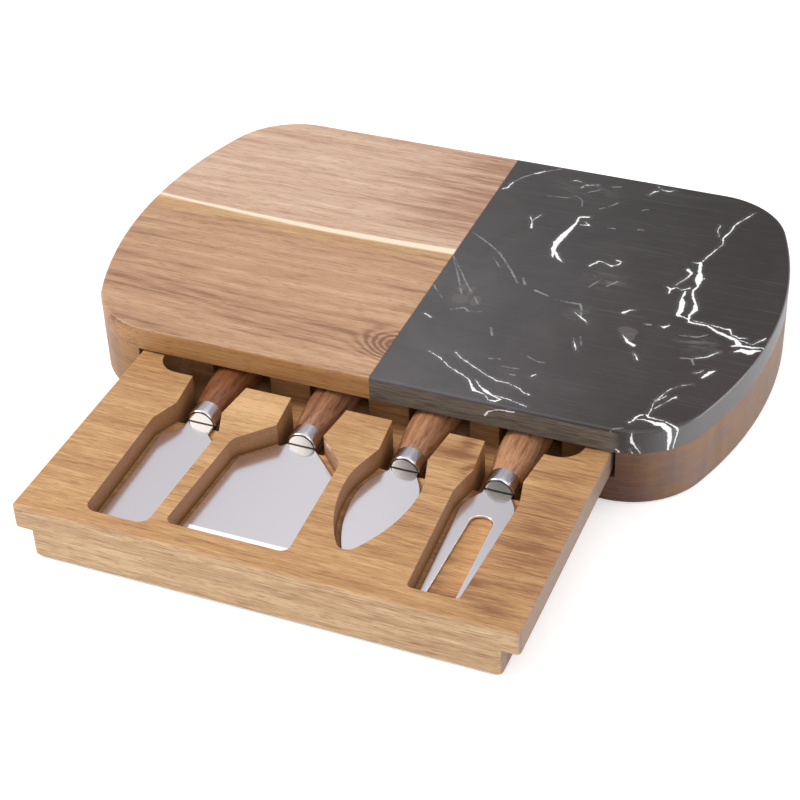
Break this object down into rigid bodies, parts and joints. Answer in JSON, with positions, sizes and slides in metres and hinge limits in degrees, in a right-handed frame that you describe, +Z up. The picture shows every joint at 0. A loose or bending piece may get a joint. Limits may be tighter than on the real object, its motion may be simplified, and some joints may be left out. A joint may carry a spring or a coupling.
{
  "type": "cheese board",
  "caption": "Low oval-ended serving board, half wood and half dark marble, with a pull-out drawer that holds cheese knives in fitted pockets.",
  "frame": {"origin": "on the table, under the middle of the footprint with the drawer pulled out as at rest", "axes": "+Z up, +X to the board's right, +Y to the back; the drawer pulls out towards -Y"},
  "size_m": [0.38, 0.377, 0.0464],
  "materials": {
    "acacia_top": "oiled, satin",
    "acacia_base": "oiled, satin",
    "acacia_drawer": "oiled, satin",
    "black_marble": "polished, with white veins",
    "blade_steel": "mirror polished stainless steel",
    "ferrule_steel": "mirror polished stainless steel",
    "handle_wood": "smooth, oiled"
  },
  "bodies": {
    "board": {"top_front_stave": "acacia_top", "top_rear_stave": "acacia_top", "marble_slab": "black_marble", "left_side_block": "acacia_base", "right_side_block": "acacia_base", "rear_rail": "acacia_base"},
    "drawer": {"drawer": "acacia_drawer"},
    "spreader": {"spreader_blade": "blade_steel", "spreader_ferrule": "ferrule_steel", "spreader_handle": "handle_wood"},
    "plane": {"plane_blade": "blade_steel", "plane_ferrule": "ferrule_steel", "plane_handle": "handle_wood"},
    "almond": {"almond_blade": "blade_steel", "almond_ferrule": "ferrule_steel", "almond_handle": "handle_wood"},
    "fork": {"fork_blade": "blade_steel", "fork_ferrule": "ferrule_steel", "fork_handle": "handle_wood"}
  },
  "joints": [
    {"name": "drawer_slide", "type": "slide", "parent": "board", "child": "drawer", "axis": [0, -1, 0], "range_m": [-0.139, 0.073]},
    {"name": "spreader_tip_up", "type": "hinge", "parent": "drawer", "child": "spreader", "pos_m": [-0.0809, -0.0245, 0.02], "axis": [-1, 0, 0], "range_deg": [0, 5]},
    {"name": "plane_tip_up", "type": "hinge", "parent": "drawer", "child": "plane", "pos_m": [-0.0227, -0.0245, 0.02], "axis": [-1, 0, 0], "range_deg": [0, 5]},
    {"name": "almond_tip_up", "type": "hinge", "parent": "drawer", "child": "almond", "pos_m": [0.035, -0.0245, 0.02], "axis": [-1, 0, 0], "range_deg": [0, 5]},
    {"name": "fork_tip_up", "type": "hinge", "parent": "drawer", "child": "fork", "pos_m": [0.0861, -0.0245, 0.02], "axis": [-1, 0, 0], "range_deg": [0, 5]}
  ]
}
